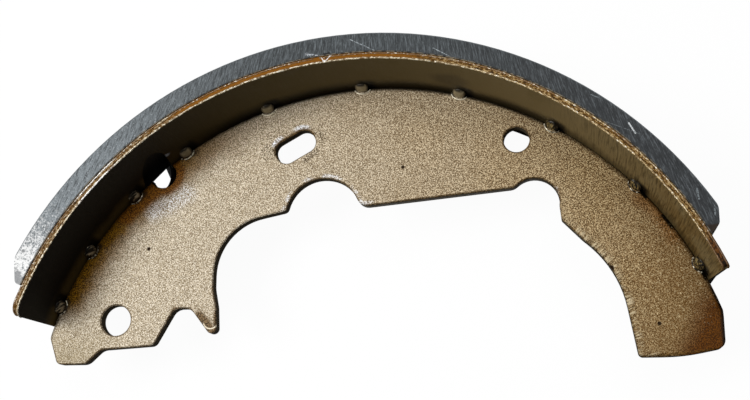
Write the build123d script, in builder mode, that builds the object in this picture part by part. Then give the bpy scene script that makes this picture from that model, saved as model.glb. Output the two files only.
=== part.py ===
"""Welded and bonded drum brake shoe, lying on the back edge of its rim."""

from math import acos, cos, degrees, pi, radians, sin
import os

from build123d import *

os.makedirs("parts", exist_ok=True)

# Driving dimensions in millimetres, and angles in degrees about the drum's axis
DRUM_R = 127.0
SHOE_WIDTH = 57.0
RIM_SET_BACK = 0.4
LINING_THICKNESS = 6.1
FILM_THICKNESS = 0.3
RIM_THICKNESS = 2.3
WEB_THICKNESS = 4.0
WEB_BACK_Z = 25.0
EDGE_BREAK = 0.4
ROLLED_EDGE_R = 2.0

LINING_INNER_R = DRUM_R - LINING_THICKNESS
RIM_OUTER_R = LINING_INNER_R - FILM_THICKNESS
RIM_INNER_R = RIM_OUTER_R - RIM_THICKNESS
WEB_FRONT_Z = WEB_BACK_Z + WEB_THICKNESS

# Where the ends of the rim, the web and the lining lie
RIM_START, RIM_END = 23.05, 161.4
ACTUATOR_FOOT_X = 111.8
WEB_START, WEB_END = degrees(acos(ACTUATOR_FOOT_X / RIM_INNER_R)), RIM_END
LINING_START, LINING_END = 28.3, 156.8
START_BEVEL_FOOT, START_FOOT_ROUND = (124.3, 28.9), 2.0
START_BEVEL_TOP, START_TOP_ROUND = 31.0, 4.0
END_BEVEL_FOOT, END_FOOT_ROUND = (122.8, 156.8), 1.5
END_BEVEL_TOP, END_TOP_ROUND = 153.6, 6.0
RIM_START_ROUND, RIM_END_ROUND = 1.5, 5.0
RIM_START_SLANT = 1.8

# The web's inner edge, seen from the front with the drum's axis at 0, 0: each
# corner with its rounding, from the anchor foot round to the actuator foot
ANCHOR_FOOT_Y, ACTUATOR_FOOT_Y = 24.5, 24.0
ANCHOR_FOOT = [
    ((-113.0, 34.2), 6.0),
    ((-109.7, ANCHOR_FOOT_Y), 2.0),
    ((-99.4, ANCHOR_FOOT_Y), 4.0),
]
STRUT_NOTCH = [
    ((-94.2, 29.3), 4.0),
    ((-75.5, 30.4), 2.5),
    ((-68.4, 42.9), 4.0),
    ((-62.8, 42.9), 4.5),
    ((-55.9, 34.0), 1.6),
    ((-53.3, 34.6), 1.8),
]
CENTRE_BAY = [
    ((-53.75, 43.2), 6.0),
    ((-55.0, 49.6), 10.0),
    ((-55.1, 70.5), 20.0),
    ((-28.6, 75.8), 0.0),
    ((-4.5, 76.05), 0.0),
    ((48.6, 80.55), 0.0),
    ((62.2, 75.0), 0.0),
    ((62.8, 69.2), 1.5),
    ((69.4, 62.3), 15.0),
    ((80.3, 53.0), 36.0),
]
ACTUATOR_FOOT = [
    ((85.3, ACTUATOR_FOOT_Y), 1.5),
    ((99.0, ACTUATOR_FOOT_Y), 60.0),
    ((ACTUATOR_FOOT_X, 26.5), 3.0),
]

# Round cut-outs in the inner edge: centre, radius, and each corner's rounding
ADJUSTER_CUT = ((-17.1, 73.5), 12.9, [((-29.7, 75.7), 2.0), ((-4.5, 76.0), 4.0)])
SPRING_CUT = ((54.2, 75.3), 8.2, [((48.0, 80.5), 4.0)])

# Holes through the web
LEVER_PIVOT_HOLE = ((-89.2, 39.2), 5.25)
HOLD_DOWN_HOLE = ((48.9, 97.0), 4.35)
SLOT_CENTRE, SLOT_TURN = (-27.0, 98.1), 29.0
SLOT_LENGTH, SLOT_WIDTH, SLOT_CORNER = 14.7, 8.2, 3.6
CORNER_HOLE_R, CORNER_HOLE_ANGLE, CORNER_HOLE_INSET = 4.6, 129.6, 1.45

# The window in the rim over the corner hole
WINDOW_ANGLE, WINDOW_HALF_WIDTH = 130.3, 5.9
WINDOW_FRONT_REACH, WINDOW_BACK_REACH = 16.0, 18.5
WINDOW_FRONT_LEAN, WINDOW_BACK_LEAN = 0.24, 0.16
WINDOW_POINTS = 12

# The lining's leaning relief behind the window: along its inner face, and up from the back
RELIEF_CORNERS = [(-4.6, 22.5), (5.5, 21.0), (10.0, 0.0), (0.4, 0.0)]

# Projection welds: a round nugget leaning in the corner of web and rim on each face
WELD_ANGLES = [26.7, 42.4, 58.9, 75.2, 91.7, 108.2, 124.1, 135.6, 147.4, 158.0]
WELD_R, WELD_RISE, WELD_DEPTH = 2.2, 0.8, 3.0
WELD_ABOVE_WEB, WELD_LEAN = 1.6, 0.45

# The origin is at the middle of the whole shoe's box, on the surface it lies on
LEFT_REACH = RIM_OUTER_R * cos(radians(180 - RIM_END))
AXIS_X = (LEFT_REACH - ACTUATOR_FOOT_X) / 2
AXIS_Y = -(DRUM_R + ACTUATOR_FOOT_Y) / 2
BACK_PLANE = Plane(origin=(AXIS_X, AXIS_Y, 0))
WEB_PLANE = Plane(origin=(AXIS_X, AXIS_Y, WEB_BACK_Z))


def polar(radius, angle):
    """A point at a radius and an angle from the drum's axis."""
    return Vector(radius * cos(radians(angle)), radius * sin(radians(angle)))


def wall_plane(radius, angle, height):
    """A plane that touches the round wall, with Y up and its normal outwards."""
    outwards = polar(1, angle)
    along = polar(1, angle + 90)
    foot = polar(radius, angle) + Vector(AXIS_X, AXIS_Y, height)
    return Plane(origin=foot, x_dir=along, z_dir=outwards)


def ring_strip(inner_r, outer_r, start, end):
    """The section of a strip rolled about the drum's axis."""
    with BuildSketch() as strip:
        with BuildLine():
            outer = CenterArc((0, 0), outer_r, start, end - start)
            inner = CenterArc((0, 0), inner_r, start, end - start)
            Line(outer @ 0, inner @ 0)
            Line(outer @ 1, inner @ 1)
        make_face()
    return strip.sketch


def window_outline():
    """The window's closed edge: an egg that leans forwards of the web."""
    points = []
    for step in range(WINDOW_POINTS):
        turn = 2 * pi * step / WINDOW_POINTS
        if sin(turn) > 0:
            reach, lean = WINDOW_FRONT_REACH, WINDOW_FRONT_LEAN
        else:
            reach, lean = WINDOW_BACK_REACH, WINDOW_BACK_LEAN
        height = reach * sin(turn)
        points.append((WINDOW_HALF_WIDTH * cos(turn) - lean * height, height))
    with BuildSketch() as window:
        with BuildLine():
            Spline(*points, periodic=True)
        make_face()
    return window.sketch


# Web: one flat stamping with two feet, holes and cut-outs
inner_edge = ANCHOR_FOOT + STRUT_NOTCH + CENTRE_BAY + ACTUATOR_FOOT
with BuildPart() as web:
    with BuildSketch(WEB_PLANE) as web_sketch:
        with BuildLine():
            welded_edge = CenterArc((0, 0), RIM_INNER_R, WEB_START, WEB_END - WEB_START)
            corners = [corner for corner, rounding in inner_edge]
            roundings = [rounding for corner, rounding in inner_edge]
            FilletPolyline(welded_edge @ 1, *corners, welded_edge @ 0, radius=roundings)
        make_face()
        for centre, radius, cut_corners in (ADJUSTER_CUT, SPRING_CUT):
            with Locations(centre):
                Circle(radius, mode=Mode.SUBTRACT)
        for centre, radius in (LEVER_PIVOT_HOLE, HOLD_DOWN_HOLE):
            with Locations(centre):
                Circle(radius, mode=Mode.SUBTRACT)
        with Locations(Location(SLOT_CENTRE, SLOT_TURN)):
            RectangleRounded(SLOT_LENGTH, SLOT_WIDTH, SLOT_CORNER, mode=Mode.SUBTRACT)
        with Locations(polar(RIM_INNER_R - CORNER_HOLE_INSET, CORNER_HOLE_ANGLE)):
            Circle(CORNER_HOLE_R, mode=Mode.SUBTRACT)
        for corner, rounding in ADJUSTER_CUT[2] + SPRING_CUT[2]:
            fillet(web_sketch.vertices().sort_by_distance(corner)[0], rounding)
    extrude(amount=WEB_THICKNESS)
    front_edges = web.faces().sort_by(Axis.Z)[-1].edges()
    round_edges = front_edges.filter_by(GeomType.CIRCLE)
    welded_edges = round_edges.filter_by(lambda edge: edge.radius > RIM_INNER_R / 2)
    chamfer(front_edges - welded_edges, EDGE_BREAK)
    with BuildSketch(Plane((AXIS_X, AXIS_Y, WEB_FRONT_Z), x_dir=(1, 0, 0), z_dir=(0, -1, 0))):
        with Locations((RIM_INNER_R - ROLLED_EDGE_R, -ROLLED_EDGE_R)):
            Rectangle(ROLLED_EDGE_R * 2, ROLLED_EDGE_R * 2, align=(Align.MIN, Align.MIN))
            Circle(ROLLED_EDGE_R, mode=Mode.SUBTRACT)
    revolve(axis=Axis((AXIS_X, AXIS_Y, 0), (0, 0, 1)), mode=Mode.SUBTRACT)
web.part.label = "web_plate"
export_step(web.part, "parts/web_plate.step")

# Rim: a strip rolled to the drum's curve, with its corners rounded
with BuildPart() as rim:
    with BuildSketch(BACK_PLANE):
        add(ring_strip(RIM_INNER_R, RIM_OUTER_R, RIM_START, RIM_END))
    extrude(amount=SHOE_WIDTH - RIM_SET_BACK)
    corners = rim.edges().filter_by(lambda edge: abs(edge.length - RIM_THICKNESS) < 0.01)
    fillet(corners.filter_by_position(Axis.X, 0, DRUM_R), RIM_START_ROUND)
    corners = rim.edges().filter_by(lambda edge: abs(edge.length - RIM_THICKNESS) < 0.01)
    fillet(corners.filter_by_position(Axis.X, -DRUM_R, 0), RIM_END_ROUND)
    with BuildSketch(wall_plane(RIM_INNER_R, RIM_START, WEB_FRONT_Z)):
        Polygon((-1, 28), (0, 28), (RIM_START_SLANT, 0), (RIM_START_SLANT, -29), (-1, -29), align=None)
    extrude(amount=RIM_THICKNESS * 2, both=True, mode=Mode.SUBTRACT)
    with BuildSketch(wall_plane(RIM_INNER_R, WINDOW_ANGLE, WEB_FRONT_Z)):
        add(window_outline())
    extrude(amount=RIM_THICKNESS * 2, both=True, mode=Mode.SUBTRACT)
rim.part.label = "rim_table"
export_step(rim.part, "parts/rim_table.step")

# Adhesive film between rim and lining, cut where they are
with BuildPart() as film:
    with BuildSketch(BACK_PLANE):
        add(ring_strip(RIM_OUTER_R, LINING_INNER_R, LINING_START, LINING_END))
    extrude(amount=SHOE_WIDTH)
    with BuildSketch(wall_plane(RIM_INNER_R, WINDOW_ANGLE, WEB_FRONT_Z)):
        add(window_outline())
    extrude(amount=RIM_THICKNESS * 2, mode=Mode.SUBTRACT)
    with BuildSketch(wall_plane(RIM_INNER_R, WINDOW_ANGLE, 0)):
        Polygon(*RELIEF_CORNERS, align=None)
    extrude(amount=RIM_THICKNESS * 2, mode=Mode.SUBTRACT)
film.part.label = "bond_film"
export_step(film.part, "parts/bond_film.step")

# Lining: a moulded block ground to the drum's curve, with bevelled ends and a relief
with BuildPart() as lining:
    with BuildSketch(BACK_PLANE) as block:
        with BuildLine():
            CenterArc((0, 0), LINING_INNER_R, LINING_START, LINING_END - LINING_START)
            CenterArc((0, 0), DRUM_R, START_BEVEL_TOP, END_BEVEL_TOP - START_BEVEL_TOP)
            Polyline(
                polar(LINING_INNER_R, LINING_START),
                polar(*START_BEVEL_FOOT),
                polar(DRUM_R, START_BEVEL_TOP),
            )
            Polyline(
                polar(DRUM_R, END_BEVEL_TOP),
                polar(*END_BEVEL_FOOT),
                polar(LINING_INNER_R, LINING_END),
            )
        make_face()
        for corner, rounding in (
            (polar(*START_BEVEL_FOOT), START_FOOT_ROUND),
            (polar(DRUM_R, START_BEVEL_TOP), START_TOP_ROUND),
            (polar(*END_BEVEL_FOOT), END_FOOT_ROUND),
            (polar(DRUM_R, END_BEVEL_TOP), END_TOP_ROUND),
        ):
            fillet(block.vertices().sort_by_distance(corner)[0], rounding)
    extrude(amount=SHOE_WIDTH)
    with BuildSketch(wall_plane(LINING_INNER_R, WINDOW_ANGLE, 0)):
        Polygon(*RELIEF_CORNERS, align=None)
    extrude(amount=LINING_THICKNESS * 2, both=True, mode=Mode.SUBTRACT)
lining.part.label = "friction_lining"
export_step(lining.part, "parts/friction_lining.step")

# Weld nuggets: round buttons on the rim's wall that lean over the web, front and back
with BuildPart() as welds:
    for face_z, away in ((WEB_FRONT_Z, 1), (WEB_BACK_Z, -1)):
        for angle in WELD_ANGLES:
            facing = (Vector(0, 0, WELD_LEAN * away) - polar(1, angle)).normalized()
            seat = polar(RIM_INNER_R, angle) + Vector(AXIS_X, AXIS_Y, face_z + WELD_ABOVE_WEB * away)
            with BuildSketch(Plane(origin=seat + facing * WELD_RISE, z_dir=facing)):
                Circle(WELD_R)
            extrude(amount=-WELD_DEPTH)
    with Locations((AXIS_X, AXIS_Y, WEB_BACK_Z + WEB_THICKNESS / 2)):
        Cylinder(RIM_INNER_R, SHOE_WIDTH / 2, mode=Mode.INTERSECT)
    add(web.part, mode=Mode.SUBTRACT)
welds.part.label = "weld_nuggets"
export_step(welds.part, "parts/weld_nuggets.step")
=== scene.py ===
"""Looks for a drum brake shoe: paints, edge metal, weld flash, camera and light."""

from math import atan2, cos, degrees, hypot, pi, radians, sin

import bpy
from mathutils import Matrix, Vector


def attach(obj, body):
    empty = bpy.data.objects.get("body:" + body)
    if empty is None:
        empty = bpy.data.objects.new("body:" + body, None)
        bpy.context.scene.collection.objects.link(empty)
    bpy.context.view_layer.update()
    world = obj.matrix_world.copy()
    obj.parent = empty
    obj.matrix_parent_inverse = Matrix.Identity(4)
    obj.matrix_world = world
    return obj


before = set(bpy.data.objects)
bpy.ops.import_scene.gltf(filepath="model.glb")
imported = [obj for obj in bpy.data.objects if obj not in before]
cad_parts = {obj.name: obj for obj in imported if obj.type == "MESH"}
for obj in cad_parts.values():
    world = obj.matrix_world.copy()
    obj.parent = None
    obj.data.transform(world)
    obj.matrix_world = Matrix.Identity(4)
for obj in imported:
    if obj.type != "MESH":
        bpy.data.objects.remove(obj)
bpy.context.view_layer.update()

# The drum's axis in the shared frame and the shoe's own sizes, in millimetres and degrees
AXIS_X, AXIS_Y = 1.251, -75.5
RIM_INNER_R = 118.3
ARC_PER_DEGREE = RIM_INNER_R * pi / 180
RIM_FRONT_Z = 56.6
WEB_FRONT_Z, WEB_BACK_Z = 29.0, 25.0
WINDOW_ANGLE = 130.3

# The welds from the actuator foot round, and how many of the first ones are torn
WELD_ANGLES = [26.7, 42.4, 58.9, 75.2, 91.7, 108.2, 124.1, 135.6, 147.4, 158.0]
TORN_WELDS = 3

# The holes: the corner hole by its centre's angle and radius, the round ones by x, y and
# radius, and the slot
CORNER_HOLE_ANGLE, CORNER_HOLE_CENTRE_R = 129.6, 116.85
LEVER_PIVOT_HOLE = (-87.95, -36.3, 5.25)
HOLD_DOWN_HOLE = (50.15, 21.5, 4.35)
SLOT_CENTRE, SLOT_TURN = (-25.75, 22.6), 29.0
SLOT_HALF_LENGTH, SLOT_HALF_WIDTH = 7.35, 4.1

# The web's inner edge: its corners from the anchor foot round to the actuator foot,
# measured from the drum's axis, and the two round cut-outs in it
INNER_EDGE = [
    (-113.0, 34.2),
    (-109.7, 24.5),
    (-99.4, 24.5),
    (-94.2, 29.3),
    (-75.5, 30.4),
    (-68.4, 42.9),
    (-62.8, 42.9),
    (-55.9, 34.0),
    (-53.3, 34.6),
    (-53.7, 43.2),
    (-55.0, 49.6),
    (-54.0, 61.0),
    (-48.5, 69.1),
    (-28.6, 75.8),
    (-4.5, 76.05),
    (48.6, 80.5),
    (62.8, 69.2),
    (69.4, 62.3),
    (74.8, 57.0),
    (78.3, 51.9),
    (80.9, 46.2),
    (82.5, 40.2),
    (85.3, 24.0),
    (111.8, 26.0),
]
CUT_OUTS = [(-17.1, 73.5, 12.9), (54.2, 75.3, 8.2)]

# The beads along the rim's front edge: the angles they start and end at, the roundings
# there, and each bead's radius about the axis, half width and half height
BEAD_START, BEAD_END = 23.78, 158.98
START_ROUND, END_ROUND = 1.5, 5.0
BEADS = [(118.65, 0.32, 0.26), (120.18, 0.26, 0.22)]
BEAD_SIDES, BEAD_STEPS, ROUNDING_STEPS = 8, 520, 8

# Dents in the beads: the middle and half width in degrees, the radii between, the drop
DENTS = [
    (96.6, 0.45, 119.5, 121.0, -0.5),
    (95.7, 0.25, 117.0, 119.5, -0.2),
    (78.2, 0.2, 117.0, 119.5, -0.5),
]

# How rough the beads and the torn welds are: the width of a lump, and how deep it goes
BEAD_LUMPS, TORN_LUMPS = (0.7, 0.2), (1.2, 1.3)

# The nick's two bright sides in the rim's front edge, and its foot
NICK = [((-10.8, 43.9), (-9.9, 42.6)), ((-7.6, 44.8), (-9.8, 42.6))]
NICK_FOOT = (-9.9, 42.8)

# A weld's dome, and where its centre lies from the rim's wall and from the web's face
DOME_R, DOME_FLATNESS, DOME_LEAN = 2.28, 0.38, 0.45
DOME_FROM_RIM, DOME_FROM_WEB = 0.59, 1.87

# The crescent below a weld: part of a stretched ring, tilted and sunk into the web
LIP_R, LIP_HALF_THICKNESS, LIP_STRETCH = 2.4, 0.23, (1.2, 1.02, 1.0)
LIP_TOP, LIP_TILT, LIP_SINK = -0.7, 12, 0.4

# Marks on the web's face, and places of painted glints: lines from one place to another, and pits by
# place and radius
SPILL = ((-86.0, 0.5), (-76.0, 9.0))
SPARKLE = ((-75.5, 1.5), (-64.5, 7.0))
CORNER_GLINT = ((62.5, 3.8), (62.9, -0.6))
HOOK_TIP = ((-58.3, -35.0), (-53.4, -40.6))
HOOK_SIDE = ((-52.4, -40.6), (-52.2, -34.0))
UNDER_SLOT = ((-22.2, 17.7), (-19.0, 20.2))
PITS = [(11.8, 13.6, 0.35), (-77.2, -11.7, 0.4), (93.3, -41.2, 0.4), (79.2, -23.0, 0.7)]

# Where the lines left by the lining's grinding wheel meet, and its single scratches:
# start, end, half width and colour
FAN_X, FAN_Y = 5.0, 250.0
SCRATCHES = [
    ((-1.2, 49.5), (6.7, 45.3), 0.06, "b4bcc1"),
    ((25.7, 44.9), (31.1, 41.7), 0.06, "b4bcc1"),
    ((85.4, 16.8), (87.2, 13.5), 0.17, "dfe3e5"),
    ((74.5, 26.5), (76.9, 25.3), 0.10, "7c8387"),
    ((78.6, 17.6), (88.6, 13.1), 0.06, "6b7174"),
    ((104.2, -4.6), (104.6, -7.8), 0.20, "7f878b"),
    ((108.9, -9.9), (108.9, -12.8), 0.12, "8d9599"),
]
DUST = ((-15.8, 45.4), (-11.6, 44.4))
CHIP = ((-10.0, 44.9), (-8.2, 45.1))

# The floor in metres, how much of it glows for the camera, and the room's light
FLOOR_SIZE, FLOOR_Z, FLOOR_GLOW = 6.0, -0.0002, 0.96
ROOM_LIGHT = 0.2

# The lights in metres: name, place, width and power; and the point they face
LIGHTS = [
    ("main_light", (-0.38, -0.04, 0.66), 0.4, 4.4),
    ("fill_light", (0.12, 0.30, 0.85), 0.6, 3.0),
]
LIT_POINT = (0, 0, 0.03)

# The camera: place in metres, the directions right, up and ahead, and its lens
EYE_PLACE = (0.064357, -0.086445, 0.396382)
EYE_RIGHT = (0.985968, 0.0, -0.166932)
EYE_UP = (0.038773, 0.972652, 0.229007)
EYE_AHEAD = (-0.162367, 0.232266, -0.959004)
EYE_LENS, EYE_SENSOR = 54.451, 36.0


# Shader maths

# The mix node's sockets for colours, by number, and its colour output
MIX_FACTOR, MIX_LOW, MIX_HIGH, MIX_RESULT = 0, 6, 7, 2


def colour(written):
    """A written colour as linear red, green, blue and alpha."""
    linear = []
    for start in (0, 2, 4):
        part = int(written[start : start + 2], 16) / 255
        linear.append(part / 12.92 if part < 0.04045 else ((part + 0.055) / 1.055) ** 2.4)
    return (*linear, 1.0)


class Wire:
    """One output of a shader node, so that sums of wires read as sums."""

    def __init__(self, tree, socket):
        self.tree = tree
        self.socket = socket

    def node(self, kind, settings, inputs, output=0):
        """Adds any node: its type, its settings, then its sockets."""
        made = self.tree.nodes.new(kind)
        for name, value in settings.items():
            setattr(made, name, value)
        for name, value in inputs.items():
            if isinstance(value, Wire):
                self.tree.links.new(value.socket, made.inputs[name])
            else:
                made.inputs[name].default_value = value
        return Wire(self.tree, made.outputs[output])

    def maths(self, operation, *values):
        return self.node("ShaderNodeMath", {"operation": operation}, dict(enumerate(values)))

    def __add__(self, other):
        return self.maths("ADD", self, other)

    def __sub__(self, other):
        return self.maths("SUBTRACT", self, other)

    def __mul__(self, other):
        return self.maths("MULTIPLY", self, other)

    def __radd__(self, other):
        return self.maths("ADD", other, self)

    def __rsub__(self, other):
        return self.maths("SUBTRACT", other, self)

    def __abs__(self):
        return self.maths("ABSOLUTE", self)

    def __or__(self, other):
        return self.maths("MAXIMUM", self, other)


def rise(value, low, high):
    """0 at low and 1 at high, smooth in between; low may be the larger."""
    settings = {"interpolation_type": "SMOOTHSTEP"}
    return value.node(
        "ShaderNodeMapRange", settings, {"Value": value, "From Min": low, "From Max": high}
    )


def band(value, middle, half, soft):
    """1 within half of the middle, gone a further soft away."""
    return rise(abs(value - middle), half + soft, half)


def mix(factor, low, high):
    """One colour turning into another as the factor goes from 0 to 1."""
    sockets = {MIX_FACTOR: factor, MIX_LOW: low, MIX_HIGH: high}
    for number, value in sockets.items():
        if isinstance(value, str):
            sockets[number] = colour(value)
    return factor.node("ShaderNodeMix", {"data_type": "RGBA"}, sockets, MIX_RESULT)


def noise(where, size, detail=2.0, roughness=0.5):
    """Cloudy noise with blobs about size across."""
    inputs = {"Vector": where, "Scale": 1 / size, "Detail": detail, "Roughness": roughness}
    return where.node("ShaderNodeTexNoise", {}, inputs)


def vector(x, y, z=0.0):
    """Three values as one vector."""
    return x.node("ShaderNodeCombineXYZ", {}, {0: x, 1: y, 2: z})


class Place:
    """Where a shaded point lies: millimetres, and radius and degrees about the drum's axis."""

    def __init__(self, tree):
        coordinates = tree.nodes.new("ShaderNodeTexCoord")
        metres = Wire(tree, coordinates.outputs["Object"])
        scaled = {"operation": "SCALE"}
        self.point = metres.node("ShaderNodeVectorMath", scaled, {0: metres, "Scale": 1000.0})
        turned = {"Vector": self.point, "Rotation": (0.5, 0.7, 0.3)}
        self.turned = metres.node("ShaderNodeMapping", {}, turned)
        parts = [
            metres.node("ShaderNodeSeparateXYZ", {}, {0: self.point}, number) for number in range(3)
        ]
        self.x, self.y, self.z = parts
        across = self.x - AXIS_X
        up = self.y - AXIS_Y
        self.radius = across.maths("SQRT", across * across + up * up)
        self.angle = across.maths("ARCTAN2", up, across) * (180 / pi)
        self.along = self.angle * ARC_PER_DEGREE

    def away(self, x, y):
        """Millimetres from a place seen from the front."""
        across, up = self.x - x, self.y - y
        return across.maths("SQRT", across * across + up * up)

    def away_round(self, angle, height):
        """Millimetres along the rim's wall from a place on it."""
        along, up = self.along - angle * ARC_PER_DEGREE, self.z - height
        return along.maths("SQRT", along * along + up * up)

    def from_line(self, start, end):
        """Millimetres from a straight line between two places seen from the front."""
        length = hypot(end[0] - start[0], end[1] - start[1])
        right, up = (end[0] - start[0]) / length, (end[1] - start[1]) / length
        across, climb = self.x - start[0], self.y - start[1]
        beyond = abs(across * right + climb * up - length / 2) - length / 2
        beyond = beyond.maths("MAXIMUM", beyond, 0.0)
        aside = climb * right - across * up
        return aside.maths("SQRT", aside * aside + beyond * beyond)

    def from_edge(self):
        """Millimetres from the web's inner edge."""
        nearest = None
        for start, end in zip(INNER_EDGE, INNER_EDGE[1:]):
            ends = [(x + AXIS_X, y + AXIS_Y) for x, y in (start, end)]
            away = self.from_line(*ends)
            nearest = away if nearest is None else away.maths("MINIMUM", nearest, away)
        for x, y, radius in CUT_OUTS:
            away = abs(self.away(x + AXIS_X, y + AXIS_Y) - radius)
            nearest = nearest.maths("MINIMUM", nearest, away)
        return nearest

    def in_nick(self):
        """1 on the bright sides of the nick in the rim's front edge."""
        first, second = [self.from_line(*side) for side in NICK]
        foot = self.away(*NICK_FOOT) - 0.25
        nearest = first.maths("MINIMUM", foot.maths("MINIMUM", first, foot), second)
        ragged = noise(self.turned, 0.6, 2.0) - 0.5
        return rise(nearest + ragged * 0.5, 0.24, 0.06) * 0.9

    def at_welds(self, half, soft, shift=0.0):
        """1 within half a width of any weld along the rim."""
        nearest = None
        for angle in WELD_ANGLES:
            away = abs(self.angle - (angle + shift))
            nearest = away if nearest is None else away.maths("MINIMUM", nearest, away)
        return rise(nearest * ARC_PER_DEGREE, half + soft, half)


def new_material(name):
    """A material with its surface shader and the place it is worked out at."""
    material = bpy.data.materials.new(name)
    material.use_nodes = True
    tree = material.node_tree
    return material, tree.nodes["Principled BSDF"], Place(tree)


def feed(shader, inputs):
    """Sets or links the surface shader's sockets."""
    for name, value in inputs.items():
        if isinstance(value, Wire):
            value.tree.links.new(value.socket, shader.inputs[name])
        else:
            shader.inputs[name].default_value = value


def bump(height, strength, distance):
    """Relief from a height in millimetres."""
    inputs = {"Height": height, "Strength": strength, "Distance": distance / 1000}
    return height.node("ShaderNodeBump", {}, inputs)


# Materials


class WebGrain:
    """The noises that break up the web's paint and its stains."""

    def __init__(self, place):
        self.flake = noise(place.turned, 0.34, 1.5, 0.5)
        self.coarse = noise(place.point, 1.8, 2.0)
        self.cloud = noise(place.point, 22.0, 2.0)
        self.patchy = noise(place.point, 5.0, 4.0, 0.6)
        self.ragged = (self.patchy - 0.5) * 5
        self.speckled = rise(self.flake, 0.4, 0.62)


def web_coat(place, grain):
    """Champagne paint full of metal flake, darker and browner towards the actuator foot: partly brown
    stain, partly painted light falling off from the lit left side.
    """
    # Partly painted light: lighter on the left, near the lamp, and darker and browner to the right.
    across = rise(place.x + place.y * 0.1 + (grain.cloud - 0.5) * 50, -80, 105)
    dark_flake = rise(grain.flake, 0.49, 0.4) * (0.75 + across * 0.15)
    bright_flake = rise(grain.flake, 0.51, 0.6) * (0.85 + across * 0.05)
    base = mix(across, "b5a68c", "8d7048")
    base = mix(dark_flake * 0.95, base, mix(across, "5d4d36", "3a270b"))
    base = mix(rise(grain.coarse, 0.52, 0.32) * 0.2, base, "6d573a")
    base = mix(bright_flake * 0.9, base, mix(across, "f4ead8", "d8c294"))
    base = mix(rise(place.x, 66, 104) * rise(place.y, 24, -30) * 0.5, base, "6a4716")
    anchor_foot = rise(place.x, -78, -104) * rise(place.y, -34, -50)
    return mix(anchor_foot * 0.4, base, mix(grain.flake, "5c5038", "a09068"))


def corner_hole_away(place):
    """Millimetres from the centre of the hole in the web's outer edge."""
    turn = radians(CORNER_HOLE_ANGLE)
    corner_x = AXIS_X + CORNER_HOLE_CENTRE_R * cos(turn)
    corner_y = AXIS_Y + CORNER_HOLE_CENTRE_R * sin(turn)
    return place.away(corner_x, corner_y)


def web_heat(place, grain, leftward, base):
    """Brown along the junction, mostly at the left, partly scorch and partly painted shadow cast by
    the rim; rust along the junction and round the corner hole; and painted glints.
    """
    # Painted shadow: the brown band along the left junction also stands in for the rim's shadow on the
    # web.
    reach = place.radius + (grain.patchy - 0.5) * 7
    heat_and_rim_shadow = rise(reach, 105, 115.5) * leftward * rise(place.y, -38, -29)
    base = mix(heat_and_rim_shadow, base, mix(grain.speckled, "3a2400", "9a6c12"))
    hole_rust = rise(corner_hole_away(place) + grain.ragged, 9.2, 6.2)
    rust = hole_rust | rise(place.from_line(*SPILL) + grain.ragged, 4.6, 1.6)
    warm = band(place.angle, 36.5, 3.5, 3.5) * rise(reach, 111.5, 116.5) * 0.7
    rust = rust | warm
    base = mix(rust * 0.94, base, mix(grain.speckled, "3c2000", "945c14"))
    # Painted highlights: pale glints by the anchor foot and at the spring cut's corner.
    sparkle = place.from_line(*SPARKLE) + grain.ragged * 0.4
    sparkle = rise(sparkle, 5.5, 0.5) * rise(grain.flake, 0.5, 0.56) * 0.9
    corner_glint = rise(place.from_line(*CORNER_GLINT) + grain.ragged * 0.15, 1.3, 0.5)
    sparkle = sparkle | corner_glint * rise(grain.flake, 0.48, 0.54) * 0.8
    base = mix(sparkle * 0.75 * (1 - rust), base, "f0f3fa")
    return base, rust, heat_and_rim_shadow


def web_junction(place, grain, leftward, base):
    """Painted shade darkening the web along its junction with the rim, painted shadow and soot round
    the welds, and dark gaps by the torn welds.
    """
    # Painted shade where the web meets the rim, weaker towards both ends.
    junction_shade = rise(place.radius + grain.ragged * 0.15, 116.4, 117.8)
    junction_shade = junction_shade * (0.92 - rise(place.angle, 68, 50) * 0.6 - leftward * 0.4)
    # Painted shadow and soot beside each weld on the left.
    weld_shadow_and_soot = place.at_welds(2.0, 1.6, -0.5) * rise(place.radius, 114.6, 116.2) * leftward
    gap = band(place.angle, 34.9, 1.2, 0.5) | band(place.angle, 40.5, 0.6, 0.4)
    gap = (gap | band(place.angle, 25.0, 0.8, 0.4)) * rise(place.radius, 116.6, 117.2)
    return mix(junction_shade | weld_shadow_and_soot * 0.85 | gap, base, "140f05")


def web_actuator_foot(place, grain, base):
    """The actuator foot's stained lower corner and black outer edge."""
    inside_stain = (place.x - 102.2) * 0.904 - (place.y + 48.0) * 0.43 + grain.ragged * 0.8
    foot_stain = rise(inside_stain, -6.5, 3.0) * rise(place.y, -21, -36)
    base = mix(foot_stain * 0.97, base, mix(grain.speckled, "381c00", "6b3c00"))
    outer_edge = rise(place.x, 111.5, 112.5) * rise(place.y, -24, -30)
    outer_edge = outer_edge | rise(place.radius, 116.8, 117.6) * rise(place.angle, 22.9, 22.4)
    return mix(outer_edge * 0.9, base, "120a04"), foot_stain


def slot_edge_away(place):
    """Millimetres outwards from the slot's edge."""
    turn = radians(SLOT_TURN)
    reach = SLOT_HALF_LENGTH - SLOT_HALF_WIDTH
    slot_ends = [
        (SLOT_CENTRE[0] + side * reach * cos(turn), SLOT_CENTRE[1] + side * reach * sin(turn))
        for side in (-1, 1)
    ]
    return place.from_line(*slot_ends) - SLOT_HALF_WIDTH


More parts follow.
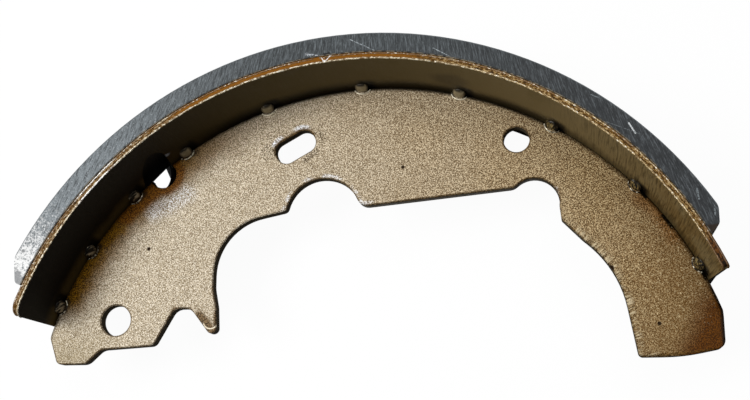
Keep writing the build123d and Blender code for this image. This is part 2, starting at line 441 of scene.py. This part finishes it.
def web_wear(place, grain, brink, base):
    """Brown wear along the inner edge, round the holes and round the slot, with painted glints by the
    slot, along the semicircle and round the hook's tip.
    """
    flake, ragged = grain.flake, grain.ragged
    brown_edge = rise(brink + ragged * 0.25, 0.6, 0.1) * 0.8
    hook = rise(place.from_line(*HOOK_TIP) + ragged * 0.3, 2.2, 0.7)
    hook = hook | rise(place.from_line(*HOOK_SIDE) + ragged * 0.3, 1.4, 0.4)
    brown_edge = brown_edge | hook * 0.85
    for hole_x, hole_y, hole_radius in (LEVER_PIVOT_HOLE, HOLD_DOWN_HOLE):
        ring = rise(place.away(hole_x, hole_y) - hole_radius, 0.7, 0.3)
        brown_edge = brown_edge | ring * 0.6
    slot_away = slot_edge_away(place)
    above_slot = rise(place.y - SLOT_CENTRE[1] - (place.x - SLOT_CENTRE[0]) * 0.55, -1, 2)
    brown_edge = brown_edge | rise(slot_away + ragged * 0.3, 0.5 + above_slot * 0.9, 0.2) * 0.9
    under_slot = place.from_line(*UNDER_SLOT) + ragged * 0.35
    brown_edge = brown_edge | rise(under_slot, 1.9, 0.6) * rise(flake, 0.6, 0.46) * 0.85
    by_slot = rise(place.away(-35.0, 21.0), 4.5, 1.5) | rise(place.away(-17.6, 25.4), 4.0, 1.5)
    base = mix(by_slot * rise(flake, 0.48, 0.4) * 0.9, base, "2e2009")
    # Painted highlights: pale glints on the slot's rim and along the semicircle's edge.
    edge_glint = rise(place.away(-32.6, 25.2), 3.4, 1.4) | rise(place.away(-23.6, 29.4), 3.8, 1.4)
    edge_glint = edge_glint * band(slot_away, 1.3, 0.4, 0.7)
    semicircle = band(brink, 0.9, 0.3, 0.6) * band(place.x, -15, 13, 6)
    edge_glint = edge_glint | semicircle * rise(grain.patchy, 0.46, 0.56) * 0.7
    base = mix(edge_glint * rise(flake, 0.45, 0.52), base, "f2f4f8")
    base = mix(brown_edge, base, mix(rise(flake, 0.42, 0.62), "261704", "7c5a24"))
    # A painted highlight curving round the hook's tip.
    tip_away = abs(place.away(-54.2, -37.2) - 2.6)
    glint = rise(tip_away, 0.3, 0.12) * rise(place.y, -37.4, -38.6)
    return mix(glint * 0.9, base, "f0e4cb")


def web_marks(place, grain, brink, base):
    """Drag marks from the punch on the actuator foot's inner side, pale specks and dark pits."""
    marks = noise(vector(place.angle * 3.2, place.radius * 0.12, 0.0), 0.9, 3.0, 0.6)
    dragged = rise(brink, 3.0, 0.8) * rise(place.x, 60, 72) * rise(place.x, 94, 90)
    dragged = dragged * rise(grain.patchy, 0.36, 0.5)
    base = mix(dragged * rise(marks, 0.5, 0.6) * 0.75, base, "e2d2ae")
    base = mix(dragged * rise(marks, 0.47, 0.38) * 0.6, base, "3c2a0e")
    strewn = noise(place.turned, 0.6, 1.0)
    strewn = rise(place.away(92.0, -26.0), 26.0, 10.0) * rise(strewn, 0.64, 0.7)
    base = mix(strewn * 0.6, base, "f0dcae")
    pits = None
    for x, y, size in PITS:
        pit = rise(place.away(x, y), size + 0.3, size)
        pits = pit if pits is None else pits | pit
    return mix(pits, base, "2a1a0a"), pits, dragged * marks


def web_cut_edges(place, base):
    """Bare cut edges below the front face, one stretch paler, and the corner hole's walls painted
    black as painted shade.
    """
    cut = rise(place.z, 28.64, 28.52) * rise(place.radius, 116.9, 116.5)
    cut_shade = noise(vector(place.along * 0.6, place.radius * 0.6, place.z * 0.25), 1.2, 3.0)
    base = mix(cut, base, mix(cut_shade, "33260f", "7a705c"))
    grey = cut * rise(place.z, 28.2, 27.2) * band(place.x, 24, 30, 5) * rise(place.y, 14, 12)
    base = mix(grey, base, mix(cut_shade, "8d8679", "b5aea4"))
    # Painted shade: the walls of the corner hole are painted black.
    hole_shade = rise(corner_hole_away(place), 4.85, 4.7)
    return mix(hole_shade, base, "030201")


def web_paint():
    """Champagne paint with brown stains, worn brinks and dark cut edges."""
    material, shader, place = new_material("champagne_paint")
    grain = WebGrain(place)
    brink = place.from_edge()
    leftward = rise(place.angle, 104, 130)
    base = web_coat(place, grain)
    base, rust, heat_and_rim_shadow = web_heat(place, grain, leftward, base)
    base = web_junction(place, grain, leftward, base)
    base, foot_stain = web_actuator_foot(place, grain, base)
    base = web_wear(place, grain, brink, base)
    base, pits, scored = web_marks(place, grain, brink, base)
    base = web_cut_edges(place, base)
    feed(
        shader,
        {
            "Base Color": base,
            "Metallic": (1 - (rust | foot_stain | heat_and_rim_shadow)) * 0.3,
            "Roughness": 0.45 + grain.flake * 0.2,
            "Specular IOR Level": 0.1,
            "Normal": bump(grain.flake * 0.7 + grain.coarse * 0.3 - pits * 2 + scored * 0.8, 0.8, 0.4),
        },
    )
    return material


def rim_coat(place, streak, cloud):
    """Varnish from near black at the anchor end to olive bronze, a run that is mostly painted shade,
    as the anchor end faces away from the light; with painted shade in the corner above the web,
    painted bounce light from the web at the anchor end, and painted shadow and soot above the welds.
    """
    turn = place.angle
    # Mostly painted shade: the varnish darkens towards the anchor end, whose wall faces away from the
    # light.
    base = mix(rise(turn, 150, 122), "030201", "1e170b")
    base = mix(rise(turn, 133, 100), base, "5e4f28")
    base = mix(rise(turn, 92, 45), base, "84724c")
    base = mix(rise(turn, 52, 30) * rise(cloud, 0.35, 0.6) * 0.7, base, "6e5426")
    streaked = rise(turn, 64, 44)
    base = mix(rise(streak, 0.52, 0.38) * streaked * 0.7, base, "30240c")
    base = mix(rise(streak, 0.53, 0.64) * streaked * 0.5, base, "978358")
    # Painted shadow and soot on the wall above each weld.
    wall_shadow_and_soot = place.at_welds(1.5, 2.4, -1.0) * rise(place.z + (cloud - 0.5) * 5, 38, 33)
    # Painted shade in the corner where the rim meets the web.
    shade = rise(place.z + (cloud - 0.5) * 3, 38, 30.5) * rise(turn, 138, 112)
    base = mix(shade * (0.85 - rise(turn, 64, 48) * 0.5), base, "120d05")
    # Painted bounce light: the rim's lower wall at the anchor end is lightened as if lit by the web.
    web_bounce_light = rise(place.z + (cloud - 0.5) * 6, 37, 29.5) * rise(turn, 112, 136)
    base = mix(web_bounce_light * 0.85, base, "5c4c2a")
    smudge = rise(place.away_round(76.2, 40.5) + (cloud - 0.5) * 8, 9.0, 2.0)
    base = mix(smudge * 0.45, base, "140f07")
    torn_open = rise(place.away_round(25.0, 30.2) + (cloud - 0.5) * 2, 1.7, 1.1)
    return mix(wall_shadow_and_soot * 0.95 | torn_open, base, "030201")


def rim_window(place, streak, cloud, base):
    """Paint made paler by the window as a painted reflection of the web, a small bluish-white painted
    highlight, and the rim's face behind the web painted black as painted shade.
    """
    turn = place.angle
    window_away = place.away_round(WINDOW_ANGLE, WEB_FRONT_Z)
    # Painted reflection: the rim by the window is lightened as if mirroring the lit web.
    web_reflection = rise(window_away + (cloud - 0.5) * 5, 15.0, 12.0) * rise(place.z, 29, 36)
    base = mix(web_reflection * rise(turn, 133, 126) * 0.5, base, "3d3018")
    # A painted highlight: a small bluish-white glint by the window.
    window_highlight = rise(place.away_round(126.6, 36.8) + (streak - 0.5) * 2, 1.4, 0.5)
    base = mix(window_highlight * 0.8, base, "98a0b0")
    # Painted shade: the rim's face behind the web near the window is painted black.
    below = rise(place.z, 25.5, 24.5) * rise(turn, 118, 122)
    return mix(below, base, "010100"), below


def rim_groove(place, streak, patchy):
    """The colour between the two beads: orange rust at the top, brown elsewhere; the end face painted
    lighter as painted light, and the window's walls painted black as painted shade.
    """
    turn = place.angle
    groove = mix(rise(patchy, 0.36, 0.6), "2c1c04", "7b5418")
    groove = mix(rise(patchy, 0.52, 0.6) * rise(turn, 118, 124) * 0.8, groove, "b9aa8c")
    groove = mix(rise(patchy, 0.52, 0.58) * rise(turn, 80, 76) * 0.7, groove, "c0a878")
    top_rust = band(turn, 101, 18, 4)
    groove = mix(top_rust * 0.96, groove, mix(patchy, "623a05", "925c0a"))
    end_rust = mix(rise(patchy, 0.42, 0.56), "160c03", "643a10")
    groove = mix(rise(turn, 29.5, 27) * 0.95, groove, end_rust)
    groove = mix(rise(turn, 24.6, 24.0) * 0.9, groove, "0b0602")
    # Painted light: the rim's end face is painted lighter olive to offset the shade it lies in.
    groove = mix(rise(turn, 23.3, 23.1) * 0.9, groove, mix(streak, "6f6040", "ab9a6e"))
    groove = mix(rise(place.away(-9.2, 44.3), 0.9, 0.4) * 0.85, groove, "1c1206")
    groove = mix(place.in_nick(), groove, "e9e8e4")
    # Painted shade: the window's walls are painted black.
    window_wall_shade = band(turn, WINDOW_ANGLE, 7.0, 1.0) * rise(place.z, 50, 46)
    return mix(window_wall_shade, groove, "040302")


def rim_paint():
    """Brown varnish over steel, with a rusty front edge and a worn back edge."""
    material, shader, place = new_material("rim_varnish")
    streak = noise(vector(place.along * 1.2, place.z * 0.05, 0.0), 0.7, 4.0, 0.65)
    cloud = noise(vector(place.along * 0.4, place.z * 0.25, 3.0), 4.0, 3.0)
    patchy = noise(vector(place.along, place.radius * 2, 0.0), 1.2, 4.0, 0.7)
    base = rim_coat(place, streak, cloud)
    base, below = rim_window(place, streak, cloud, base)
    edge = rise(place.radius, 118.36, 118.5) * rise(place.radius, 120.58, 120.5)
    base = mix(edge, base, rim_groove(place, streak, patchy))
    back = rise(place.z, 0.6, 0.2)
    base = mix(back * rise(patchy, 0.4, 0.6) * 0.6, base, "8c7b5b")
    relief = streak * 0.35 + noise(place.point, 1.3, 3.0) * 0.3 + edge * patchy * 0.6
    feed(
        shader,
        {
            "Base Color": base,
            "Metallic": 0.0,
            "Roughness": 0.5 + streak * 0.1 + below * 0.4,
            "Coat Weight": (1 - edge) * rise(place.angle, 120, 80) * 0.12,
            "Specular IOR Level": 0.1,
            "Normal": bump(relief, 0.5, 0.3),
        },
    )
    return material


def weld_paint():
    """Squeezed weld buttons: varnished, scraped bright at one end, torn at the other; black over each
    top, partly scorch and partly painted shade, and painted shade under and round each dome.
    """
    material, shader, place = new_material("weld_varnish")
    mottled = noise(place.point, 1.1, 3.0)
    scraped = noise(vector((place.x + place.y) * 0.3, (place.x - place.y) * 2.0), 1.2, 2.0)
    torn = noise(vector(place.x * 1.3, place.y * 0.7, place.z), 0.9, 3.0, 0.6)
    leftward = rise(place.angle, 122, 130)
    rightward = rise(place.angle, 66, 60)
    base = mix(mottled, "6a5c40", "b0a180")
    base = mix(leftward, base, mix(rise(scraped, 0.46, 0.6), "1c150b", "b3a68c"))
    base = mix(rightward, base, mix(rise(torn, 0.46, 0.58), "0f0a04", "96804f"))
    # Partly painted shade: black over each dome's top; then painted shade under each dome and round
    # its sides.
    above = rise(place.z, 31.8, 32.6) * rise(mottled, 0.3, 0.45)
    shaded = rise(place.z, 30.0, 29.2) * band(place.z, 29.9, 1.0, 0.2) * 0.6
    shaded = shaded | (1 - place.at_welds(1.3, 0.8)) * 0.75
    base = mix(above * 0.92 | shaded, base, "0f0b05")
    feed(
        shader,
        {
            "Base Color": base,
            "Metallic": 0.2 + leftward * 0.4,
            "Roughness": 0.34 + mottled * 0.2,
            "Normal": bump(mottled, 0.4, 0.3),
        },
    )
    return material


def bead_metal():
    """Bright worn metal along the rim's edge, silvery gold with rust in its hollows."""
    material, shader, place = new_material("edge_metal")
    turn = place.angle
    patchy = noise(vector(place.along, place.radius * 2, place.z), 1.0, 4.0, 0.7)
    long_patch = noise(vector(place.along * 0.2, 0.0, 5.0), 1.6, 2.0)
    inner = rise(place.radius, 119.7, 119.2)
    pale = mix(rise(turn, 92, 60), "d8ccb0", "c3ab7c")
    base = mix(rise(patchy, 0.4, 0.56), "5f4520", pale)
    white = band(turn, 137.2, 3.2, 2.2) * rise(patchy, 0.32, 0.5)
    base = mix(white * 0.9, base, "f4f2ee")
    bright = rise(patchy, 0.56, 0.62) * 0.85
    base = mix(bright, base, "f6f1e4")
    rusty = rise(long_patch, 0.42, 0.54) | rise(turn, 140, 142) | band(turn, 101, 19, 4)
    rusty = rusty * (1 - inner) * (1 - white)
    rusty = rusty * (1 - bright)
    base = mix(rusty * 0.94, base, mix(patchy, "56380c", "80561a"))
    worn = inner * rise(long_patch, 0.5, 0.4) * rise(patchy, 0.56, 0.46)
    base = mix(worn * 0.8, base, "6a4f28")
    base = mix(rise(turn, 29.5, 27) * 0.9, base, mix(patchy, "2c1806", "7a5428"))
    base = mix(place.in_nick(), base, "e9e8e4")
    feed(
        shader,
        {
            "Base Color": base,
            "Metallic": 0.4 - rusty * 0.35,
            "Roughness": 0.4 + patchy * 0.2,
            "Normal": bump(patchy, 0.5, 0.25),
        },
    )
    return material


def lip_metal():
    """The thin bright crescent under each weld."""
    material, shader, place = new_material("lip_metal")
    mottled = noise(place.point, 0.9, 3.0)
    base = mix(rise(mottled, 0.32, 0.5), "75664a", "efe5cb")
    ends = rise(place.angle, 118, 126) | rise(place.angle, 62, 56)
    base = mix(ends * rise(mottled, 0.6, 0.5), base, "2a1f10")
    feed(shader, {"Base Color": base, "Metallic": 0.3, "Roughness": 0.35})
    return material


def bond_paint():
    """A thin dark line of adhesive."""
    material, shader, place = new_material("adhesive_line")
    mottled = noise(place.point, 1.5, 3.0)
    base = mix(rise(mottled, 0.42, 0.58), "0d0905", "6a6151")
    feed(shader, {"Base Color": base, "Roughness": 0.6, "Normal": bump(mottled, 0.4, 0.2)})
    return material


class Stripes:
    """Broad and fine lines that fan out from where the grinding wheel turned."""

    def __init__(self, place):
        across = place.x - FAN_X
        down = FAN_Y - place.y
        slant = across.maths("ARCTAN2", across, down) * 280
        depth = across.maths("SQRT", across * across + down * down)
        self.broad = noise(vector(slant, depth * 0.12, place.z * 0.06), 0.5, 4.0, 0.7)
        self.fine = noise(vector(slant, depth * 0.22, 7.0), 0.3, 2.0, 0.5)


def front_edge(place, grain, speck, stripe):
    """The lining's front edge: bluish grey, darker to the right as painted light falling off from the
    left, with fanned wheel lines.
    """
    cloud = noise(place.point, 14.0, 3.0)
    turn = place.angle + (cloud - 0.5) * 14
    # Painted light: lighter at the left end near the lamp, darker to the right.
    base = mix(rise(turn, 152, 96), "7f868a", "3f4446")
    base = mix(rise(turn, 88, 50), base, "303335")
    base = mix(rise(stripe.broad, 0.52, 0.38) * 0.75, base, "1f2224")
    pale_part = rise(turn, 60, 100)
    base = mix(rise(stripe.broad, 0.53, 0.64) * (0.3 + pale_part * 0.2), base, "7e858a")
    base = mix(rise(stripe.fine, 0.56, 0.68) * (0.1 + pale_part * 0.12), base, "98a0a5")
    base = mix(rise(grain, 0.42, 0.3) * 0.4, base, "1c1d1d")
    leftward = rise(place.angle, 96, 140)
    base = mix(rise(speck, 0.6, 0.68) * leftward * 0.45, base, "c6ccd0")
    return mix(rise(speck, 0.42, 0.34) * leftward * 0.35, base, "3a4145")


def glazed_lit_end(place, grain, speck, stripe, base):
    """The pale far end, a painted highlight over a smoother, glazed face, with dark pits and one bare
    grey patch at its corner.
    """
    # Partly painted highlight: the far end is paled where the lamp at the left shines on it, over a
    # smoother, glazed face.
    glaze_and_highlight = rise(place.angle + (grain - 0.5) * 12 + (stripe.broad - 0.5) * 10, 142.0, 154.0)
    pitted = rise(grain + (speck - 0.5) * 0.6 + (place.angle - 149) * 0.015, 0.4, 0.6)
    base = mix(glaze_and_highlight * 0.95, base, mix(pitted, "75797b", "dfdfde"))
    bare = rise(place.away(-112.0, -26.0) + (grain - 0.5) * 6, 4.4, 2.6)
    bare = bare | rise(place.away(-109.5, -16.7), 0.75, 0.4)
    return mix(bare * 0.85, base, "6d6f71"), glaze_and_highlight


def lining_scratches(place, speck, base):
    """Long broken scratches across the front edge, and the chip over the rim's nick."""
    for start, end, half, pale in SCRATCHES:
        line = rise(place.from_line(start, end), half + 0.12, half) * rise(speck, 0.4, 0.52)
        base = mix(line * 0.8, base, pale)
    dust = rise(place.from_line(*DUST), 0.6, 0.2) * rise(speck, 0.5, 0.56)
    base = mix(dust * 0.8, base, "c9ced4")
    chip = rise(place.from_line(*CHIP) + (speck - 0.5) * 1.2, 0.6, 0.35)
    return mix(chip * 0.95, base, "0d0b08")


def lining_block():
    """Friction block: lined front edge, ground drum face, black inner face, brownish end."""
    material, shader, place = new_material("friction_grey")
    stripe = Stripes(place)
    grain = noise(place.point, 0.8, 4.0, 0.65)
    speck = noise(place.point, 0.45, 2.0, 0.6)
    base = front_edge(place, grain, speck, stripe)
    base, glaze_and_highlight = glazed_lit_end(place, grain, speck, stripe, base)
    base = lining_scratches(place, speck, base)

    inner = rise(place.radius, 120.98, 120.93)
    # Painted shade: the lining's walls in the notch by the window are painted black, like the inner
    # face.
    notch_shade = band(place.angle, WINDOW_ANGLE, 6.5, 1.0) * rise(place.z, 24, 23)
    notch_shade = notch_shade * rise(place.radius, 126.9, 126.7)
    base = mix(inner | notch_shade, base, "040302")
    ground = rise(place.radius, 126.6, 126.9)
    turned = noise(vector(place.along * 0.03, place.z * 1.0, 0.0), 0.9, 4.0, 0.6)
    base = mix(ground, base, mix(turned, "3a3d3f", "70767a"))
    end_face = rise(place.angle + (place.radius - 121) * 0.22, 29.8, 29.4)
    base = mix(end_face * 0.95, base, mix(grain, "0c0703", "32230f"))
    feed(
        shader,
        {
            "Base Color": base,
            "Roughness": 0.6 - glaze_and_highlight * 0.2 + grain * 0.1,
            "Metallic": 0.05,
            "Specular IOR Level": 0.3,
            "Normal": bump(stripe.broad * 0.5 + grain * 0.5 + ground * turned * 0.6, 0.5, 0.3),
        },
    )
    return material


# Pieces

# Vertices closer than this many metres are one, and edges flatter than this many degrees
# are shaded smooth
MERGE_WITHIN, SMOOTH_BELOW = 0.000001, 50


def at_rim(angle, radius, height):
    """A place in metres, from its degrees round, radius and height in millimetres."""
    x = AXIS_X + radius * cos(radians(angle))
    y = AXIS_Y + radius * sin(radians(angle))
    return Vector((x, y, height)) / 1000


def editing(piece):
    """Opens one object for editing with everything selected."""
    bpy.ops.object.select_all(action="DESELECT")
    piece.select_set(True)
    bpy.context.view_layer.objects.active = piece
    bpy.ops.object.mode_set(mode="EDIT")
    bpy.ops.mesh.select_mode(type="VERT")
    bpy.ops.mesh.select_all(action="SELECT")


def pick(piece, wanted):
    """Selects only the vertices of the open object for which wanted is true."""
    bpy.ops.mesh.select_all(action="DESELECT")
    bpy.ops.object.mode_set(mode="OBJECT")
    for vertex in piece.data.vertices:
        vertex.select = wanted(vertex.co * 1000)
    bpy.ops.object.mode_set(mode="EDIT")


def polar(point):
    """The radius and degrees round of a point in millimetres."""
    across, up = point.x - AXIS_X, point.y - AXIS_Y
    return hypot(across, up), degrees(atan2(up, across))


def joined(parts, name):
    """Joins objects to one and names it."""
    bpy.ops.object.select_all(action="DESELECT")
    for part in parts:
        part.select_set(True)
    bpy.context.view_layer.objects.active = parts[0]
    bpy.ops.object.join()
    parts[0].name = name
    return parts[0]


def roughened(piece, blob, depth):
    """Pushes a piece's surface in and out by cloudy noise, in millimetres."""
    texture = bpy.data.textures.new(piece.name, "CLOUDS")
    texture.noise_scale = blob / 1000
    modifier = piece.modifiers.new("rough", "DISPLACE")
    modifier.texture = texture
    modifier.texture_coords = "GLOBAL"
    modifier.strength = depth / 1000
    bpy.context.view_layer.objects.active = piece
    bpy.ops.object.modifier_apply(modifier=modifier.name)


def finished(piece, material):
    """Smooths, paints and hands over a piece."""
    editing(piece)
    bpy.ops.mesh.remove_doubles(threshold=MERGE_WITHIN)
    bpy.ops.mesh.normals_make_consistent(inside=False)
    bpy.ops.object.mode_set(mode="OBJECT")
    bpy.ops.object.shade_smooth_by_angle(angle=radians(SMOOTH_BELOW))
    piece.data.materials.clear()
    piece.data.materials.append(material)
    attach(piece, "root")


def edge_bead(radius, half_width, half_height):
    """A round bead of rolled-over metal, spun along the rim's front edge."""
    bpy.ops.mesh.primitive_circle_add(
        vertices=BEAD_SIDES,
        radius=half_width / 1000,
        location=at_rim(BEAD_START, radius, RIM_FRONT_Z),
        rotation=(pi / 2, 0, radians(BEAD_START)),
    )
    bead = bpy.context.object
    bead.scale.y = half_height / half_width
    bpy.ops.object.transform_apply()
    editing(bead)
    centre = at_rim(0, 0, RIM_FRONT_Z)
    turn = radians(BEAD_START - BEAD_END)
    bpy.ops.mesh.spin(steps=BEAD_STEPS, angle=turn, center=centre, axis=(0, 0, 1))
    for end, rounding, side in ((BEAD_END, END_ROUND, 1), (BEAD_START, START_ROUND, -1)):
        pick(bead, lambda point: abs(polar(point)[1] - end) < 0.05 and point.z > RIM_FRONT_Z - 0.6)
        middle = at_rim(end, radius, RIM_FRONT_Z - rounding)
        axis = (at_rim(end, 1, 0) - at_rim(end, 0, 0)) * 1000
        bpy.ops.mesh.spin(steps=ROUNDING_STEPS, angle=side * pi / 2, center=middle, axis=axis)
    bpy.ops.mesh.select_all(action="SELECT")
    bpy.ops.mesh.fill_holes(sides=BEAD_SIDES)
    bpy.ops.object.mode_set(mode="OBJECT")
    return bead


def in_dent(point, middle, half, low, high):
    """Whether a point in millimetres lies in a dent's stretch of the beads."""
    radius, angle = polar(point)
    return low < radius < high and abs(angle - middle) < half


def rim_edge():
    """Two beads left along the rim's front edge by the slitting, with a nick and a crack."""
    beads = joined([edge_bead(*sizes) for sizes in BEADS], "rim_edge_beads")
    roughened(beads, *BEAD_LUMPS)
    editing(beads)
    for *reach, drop in DENTS:
        pick(beads, lambda point: in_dent(point, *reach))
        bpy.ops.transform.translate(value=(0, 0, drop / 1000))
    bpy.ops.object.mode_set(mode="OBJECT")
    return beads


def weld_frame(angle, side):
    """Turns a piece made flat at the origin to face out of the corner at a weld."""
    inwards = -Vector((cos(radians(angle)), sin(radians(angle)), 0))
    along = Vector((-sin(radians(angle)), cos(radians(angle)), 0))
    facing = (inwards + Vector((0, 0, side * DOME_LEAN))).normalized()
    return Matrix((along, facing.cross(along), facing)).transposed().to_euler()


def weld_dome(angle, side, face_z):
    """The soft round top of one squeezed weld, leaning over the web."""
    bpy.ops.mesh.primitive_uv_sphere_add(
        segments=24,
        ring_count=12,
        radius=DOME_R / 1000,
        location=at_rim(angle, RIM_INNER_R - DOME_FROM_RIM, face_z + side * DOME_FROM_WEB),
        rotation=weld_frame(angle, side),
    )
    dome = bpy.context.object
    dome.scale.z = DOME_FLATNESS
    bpy.ops.object.transform_apply()
    return dome


def weld_lip(angle, side, face_z):
    """The bright crescent of metal squeezed out on the web below one weld."""
    bpy.ops.mesh.primitive_torus_add(
        major_segments=48,
        minor_segments=8,
        major_radius=LIP_R / 1000,
        minor_radius=LIP_HALF_THICKNESS / 1000,
    )
    lip = bpy.context.object
    lip.scale = LIP_STRETCH
    bpy.ops.object.transform_apply()
    editing(lip)
    pick(lip, lambda point: point.y > LIP_TOP)
    bpy.ops.mesh.delete(type="VERT")
    bpy.ops.mesh.select_all(action="SELECT")
    bpy.ops.mesh.fill_holes(sides=8)
    bpy.ops.object.mode_set(mode="OBJECT")
    outwards = Vector((cos(radians(angle)), sin(radians(angle)), 0))
    along = Vector((sin(radians(angle)), -cos(radians(angle)), 0)) * side
    tilt = radians(LIP_TILT)
    up = outwards * cos(tilt) - Vector((0, 0, side)) * sin(tilt)
    lip.rotation_euler = Matrix((along, up, along.cross(up))).transposed().to_euler()
    lip.location = at_rim(angle, RIM_INNER_R, face_z - side * LIP_SINK)
    bpy.ops.object.transform_apply()
    return lip


def at_every_weld(make, angles):
    """Makes one small form at each of these welds, on the web's front and back."""
    made = []
    for angle in angles:
        for side, face_z in ((1, WEB_FRONT_Z), (-1, WEB_BACK_Z)):
            made.append(make(angle, side, face_z))
    return made


for node, paint in (
    ("web_plate", web_paint),
    ("rim_table", rim_paint),
    ("weld_nuggets", weld_paint),
    ("bond_film", bond_paint),
    ("friction_lining", lining_block),
):
    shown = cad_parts[node]
    shown.data.materials.clear()
    shown.data.materials.append(paint())

finished(rim_edge(), bead_metal())
torn_domes = joined(at_every_weld(weld_dome, WELD_ANGLES[:TORN_WELDS]), "torn_welds")
roughened(torn_domes, *TORN_LUMPS)
finished(torn_domes, weld_paint())
round_domes = joined(at_every_weld(weld_dome, WELD_ANGLES[TORN_WELDS:]), "weld_domes")
finished(round_domes, weld_paint())
finished(joined(at_every_weld(weld_lip, WELD_ANGLES), "weld_lips"), lip_metal())


# Floor, light and camera


def floor():
    """A white floor: the camera sees it glow, but it keeps the shoe's shadow."""
    bpy.ops.mesh.primitive_plane_add(size=FLOOR_SIZE, location=(0, 0, FLOOR_Z))
    sheet = bpy.context.object
    sheet.name = "floor"
    material, shader = new_material("floor_white")[:2]
    tree = material.node_tree
    feed(shader, {"Base Color": colour("606060"), "Roughness": 0.9})
    unseen = Wire(tree, shader.outputs[0])
    lit = unseen.node("ShaderNodeBsdfDiffuse", {}, {"Color": colour("ffffff")})
    glow = unseen.node("ShaderNodeEmission", {}, {"Color": colour("ffffff")})
    white = unseen.node("ShaderNodeMixShader", {}, {0: FLOOR_GLOW, 1: lit, 2: glow})
    camera_ray = unseen.node("ShaderNodeLightPath", {}, {}, "Is Camera Ray")
    both = unseen.node("ShaderNodeMixShader", {}, {0: camera_ray, 1: unseen, 2: white})
    tree.links.new(both.socket, tree.nodes["Material Output"].inputs["Surface"])
    sheet.data.materials.append(material)


def soft_light(name, place, width, power):
    """A round area light turned towards the shoe."""
    bpy.ops.object.light_add(type="AREA", location=place)
    lamp = bpy.context.object
    lamp.name = name
    lamp.data.shape = "DISK"
    lamp.data.size = width
    lamp.data.energy = power
    away = Vector(place) - Vector(LIT_POINT)
    lamp.rotation_euler = away.to_track_quat("Z", "Y").to_euler()


def camera():
    """The view's own camera, from its place and the directions it looks, up and right."""
    bpy.ops.object.camera_add()
    eye = bpy.context.object
    eye.data.lens = EYE_LENS
    eye.data.sensor_width = EYE_SENSOR
    turn = Matrix((EYE_RIGHT, EYE_UP, -Vector(EYE_AHEAD))).transposed().to_4x4()
    turn.translation = Vector(EYE_PLACE)
    eye.matrix_world = turn
    eye.data.clip_start = 0.01
    bpy.context.scene.camera = eye


def room():
    """A dim grey room that the camera sees as white beyond the floor."""
    world = bpy.data.worlds.new("room")
    bpy.context.scene.world = world
    world.use_nodes = True
    tree = world.node_tree
    grey = tree.nodes["Background"]
    feed(grey, {"Color": colour("a6a6a6"), "Strength": ROOM_LIGHT})
    dim = Wire(tree, grey.outputs[0])
    white = dim.node("ShaderNodeBackground", {}, {"Color": colour("ffffff")})
    camera_ray = dim.node("ShaderNodeLightPath", {}, {}, "Is Camera Ray")
    both = dim.node("ShaderNodeMixShader", {}, {0: camera_ray, 1: dim, 2: white})
    tree.links.new(both.socket, tree.nodes["World Output"].inputs["Surface"])


floor()
room()
for name, place, width, power in LIGHTS:
    soft_light(name, place, width, power)
camera()

bpy.context.scene.view_settings.view_transform = "Standard"
